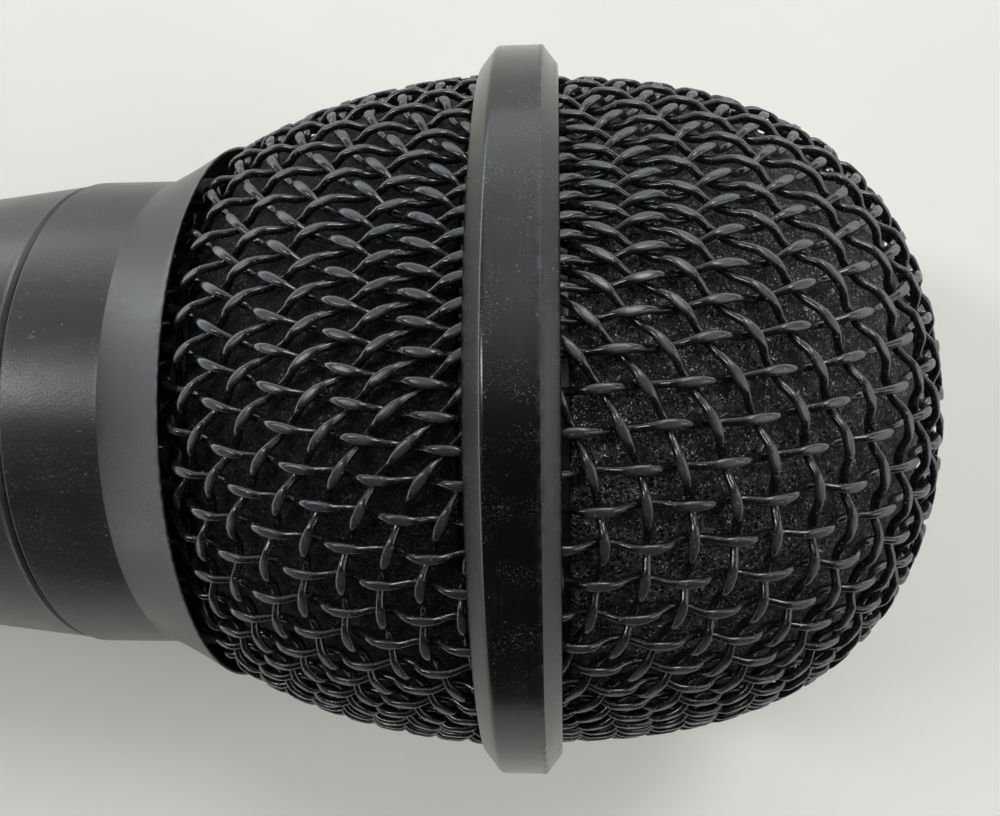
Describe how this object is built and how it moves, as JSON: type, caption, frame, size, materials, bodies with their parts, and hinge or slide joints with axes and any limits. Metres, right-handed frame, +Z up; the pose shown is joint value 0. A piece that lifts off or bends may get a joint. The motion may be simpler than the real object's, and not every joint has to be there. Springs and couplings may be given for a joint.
{
  "type": "dynamic microphone",
  "caption": "Handheld dynamic vocal microphone: tapered handle, screw-on ball grille of woven wire with a metal ring, foam liner, shock-mounted moving-coil capsule and cable socket.",
  "frame": {"origin": "centre of the cable socket's mouth, on the microphone's axis", "axes": "+X along the microphone's axis from the socket to the grille, +Z up as it lies on its side, with the socket's latch slot on top"},
  "size_m": [0.162, 0.052, 0.052],
  "materials": {
    "handle_paint": "satin",
    "barrel_metal": "satin",
    "black_plastic": "satin",
    "contact_metal": "polished",
    "rubber": "matte",
    "black_steel": "satin",
    "wire_sleeve": "satin",
    "core_steel": "satin",
    "copper": "satin",
    "brass": "satin",
    "chamber_aluminium": "satin",
    "board_laminate": "satin",
    "screen_cloth": "matte",
    "magnet_metal": "polished",
    "membrane_film": "gloss",
    "mesh_wire": "satin",
    "ring_enamel": "gloss",
    "foam": "matte"
  },
  "bodies": {
    "handle": {"handle": "handle_paint", "connector_barrel": "barrel_metal", "connector_insert": "black_plastic", "contact_pin_1": "contact_metal", "contact_pin_2": "contact_metal", "contact_pin_3": "contact_metal", "insert_gasket": "rubber", "connector_set_screw": "black_steel", "connector_leads": "wire_sleeve", "transformer_core": "core_steel", "transformer_coil": "copper", "transformer_bobbin": "black_plastic", "transformer_cradle": "black_plastic", "capsule_leads": "wire_sleeve", "shock_mount": "rubber", "mount_retaining_ring": "brass"},
    "foam_liner": {"bowl_foam": "foam", "dome_foam": "foam"},
    "grille": {"collar": "handle_paint", "mesh_clamp_ring": "black_steel", "bowl_mesh": "mesh_wire", "grille_ring": "ring_enamel", "ring_hoop": "black_steel", "dome_mesh": "mesh_wire"},
    "capsule": {"rear_chamber": "chamber_aluminium", "terminal_board": "board_laminate", "terminal_tags": "contact_metal", "capsule_housing": "chamber_aluminium", "port_screen": "screen_cloth", "damping_felt": "screen_cloth", "magnet_cup": "core_steel", "magnet": "magnet_metal", "pole_piece": "core_steel", "top_plate": "core_steel", "diaphragm_frame": "black_plastic", "diaphragm_surround": "membrane_film", "diaphragm_clamp_ring": "brass", "capsule_cap": "chamber_aluminium", "front_screen": "screen_cloth"},
    "moving_coil": {"diaphragm_dome": "membrane_film", "coil_former": "membrane_film", "voice_coil": "copper"}
  },
  "joints": [
    {"name": "grille_lift", "type": "slide", "parent": "handle", "child": "foam_liner", "axis": [1, 0, 0], "range_m": [0, 0.003]},
    {"name": "grille_unscrew", "type": "hinge", "parent": "foam_liner", "child": "grille", "pos_m": [0.1028, 0, 0], "axis": [1, 0, 0], "range_deg": [0, 1080]},
    {"name": "capsule_float", "type": "slide", "parent": "handle", "child": "capsule", "axis": [1, 0, 0], "range_m": [-0.0008, 0.0008], "stiffness_N_per_m": 3500},
    {"name": "diaphragm_stroke", "type": "slide", "parent": "capsule", "child": "moving_coil", "axis": [1, 0, 0], "range_m": [-0.0002, 0.0002], "stiffness_N_per_m": 80}
  ],
  "couplings": [
    {"joint": "grille_lift", "follows": "grille_unscrew", "m_per_rad": 0.00015915}
  ]
}
